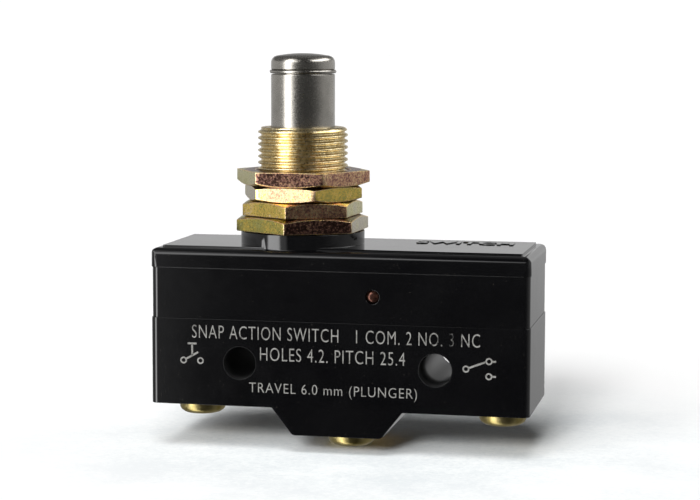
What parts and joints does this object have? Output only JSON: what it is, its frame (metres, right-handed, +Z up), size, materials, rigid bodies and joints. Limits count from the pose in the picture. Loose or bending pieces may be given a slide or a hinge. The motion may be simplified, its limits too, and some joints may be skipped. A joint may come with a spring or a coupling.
{
  "type": "limit switch",
  "caption": "Panel-mount limit switch: black snap-action switch with a threaded brass bushing, hex nuts, a steel overtravel plunger and screw terminals underneath.",
  "frame": {"origin": "midway between the two side mounting holes, at mid-thickness", "axes": "+X along the case, away from the plunger; +Y from the front face to the back; +Z up along the plunger"},
  "size_m": [0.0492, 0.0178, 0.051],
  "materials": {
    "phenolic_black": "moulded black phenolic, semi-gloss",
    "brass_bright": "turned brass, bright",
    "brass_strip": "stamped brass strip",
    "stainless_satin": "turned stainless steel, satin",
    "spring_steel": "spring steel, drawn or stamped",
    "chromate_yellow": "steel, zinc plated, iridescent yellow chromate",
    "chromate_screw": "steel, zinc plated, pale yellow chromate",
    "silver_contact": "silver alloy contact, bright",
    "beryllium_copper": "beryllium copper strip, satin",
    "resin_brown": "moulded brown phenolic",
    "copper_aged": "copper alloy pin, dull brown"
  },
  "bodies": {
    "case": {"base_case": "phenolic_black", "middle_case": "phenolic_black", "top_cover": "phenolic_black", "panel_bushing": "brass_bright", "blade_anchor": "brass_strip", "blade_rivet": "brass_strip", "blade_stop_pin": "copper_aged", "nc_contact": "silver_contact", "no_contact": "silver_contact", "com_terminal": "brass_strip", "no_terminal": "brass_strip", "nc_terminal": "brass_strip", "com_lock_washer": "chromate_screw", "no_lock_washer": "chromate_screw", "nc_lock_washer": "chromate_screw"},
    "plunger": {"plunger": "stainless_satin", "plunger_snap_ring": "stainless_satin", "plunger_retainer_ring": "spring_steel", "overtravel_spring": "spring_steel"},
    "actuating_pin": {"actuating_pin": "resin_brown", "spring_cup": "brass_strip"},
    "snap_blade": {"snap_blade": "beryllium_copper", "moving_contact": "silver_contact"},
    "lower_panel_nut": {"lower_panel_nut": "chromate_yellow"},
    "lower_lock_nut": {"lower_lock_nut": "chromate_yellow"},
    "upper_lock_nut": {"upper_lock_nut": "chromate_yellow"},
    "upper_panel_nut": {"upper_panel_nut": "chromate_yellow"},
    "com_terminal_screw": {"com_terminal_screw": "chromate_screw"},
    "no_terminal_screw": {"no_terminal_screw": "chromate_screw"},
    "nc_terminal_screw": {"nc_terminal_screw": "chromate_screw"}
  },
  "joints": [
    {"name": "plunger_press", "type": "slide", "parent": "case", "child": "plunger", "axis": [0, 0, -1], "range_m": [0, 0.006], "stiffness_N_per_m": 500, "springref_m": -0.005, "deforming": ["overtravel_spring"]},
    {"name": "pin_press", "type": "slide", "parent": "case", "child": "actuating_pin", "axis": [0, 0, -1], "range_m": [0, 0.00038]},
    {"name": "blade_snap", "type": "hinge", "parent": "case", "child": "snap_blade", "pos_m": [-0.018, 0, 0.0072], "axis": [0, 1, 0], "range_deg": [0, 1.9]},
    {"name": "lower_panel_nut_turn", "type": "hinge", "parent": "case", "child": "lower_panel_nut", "pos_m": [-0.00641, 0, 0.01754], "axis": [0, 0, 1], "continuous": true},
    {"name": "lower_lock_nut_turn", "type": "hinge", "parent": "case", "child": "lower_lock_nut", "pos_m": [-0.00641, 0, 0.01952], "axis": [0, 0, 1], "continuous": true},
    {"name": "upper_lock_nut_turn", "type": "hinge", "parent": "case", "child": "upper_lock_nut", "pos_m": [-0.00641, 0, 0.0215], "axis": [0, 0, 1], "continuous": true},
    {"name": "upper_panel_nut_turn", "type": "hinge", "parent": "case", "child": "upper_panel_nut", "pos_m": [-0.00641, 0, 0.02348], "axis": [0, 0, 1], "continuous": true},
    {"name": "com_terminal_screw_turn", "type": "hinge", "parent": "case", "child": "com_terminal_screw", "pos_m": [-0.0201, 0, -0.0069], "axis": [0, 0, 1], "continuous": true},
    {"name": "no_terminal_screw_turn", "type": "hinge", "parent": "case", "child": "no_terminal_screw", "pos_m": [0.00015, 0, -0.01057], "axis": [0, 0, 1], "continuous": true},
    {"name": "nc_terminal_screw_turn", "type": "hinge", "parent": "case", "child": "nc_terminal_screw", "pos_m": [0.02015, 0, -0.0069], "axis": [0, 0, 1], "continuous": true}
  ],
  "couplings": [
    {"joint": "pin_press", "follows": "plunger_press", "ratio": 0.0633},
    {"joint": "blade_snap", "follows": "plunger_press", "rad_per_m": 5.52}
  ]
}
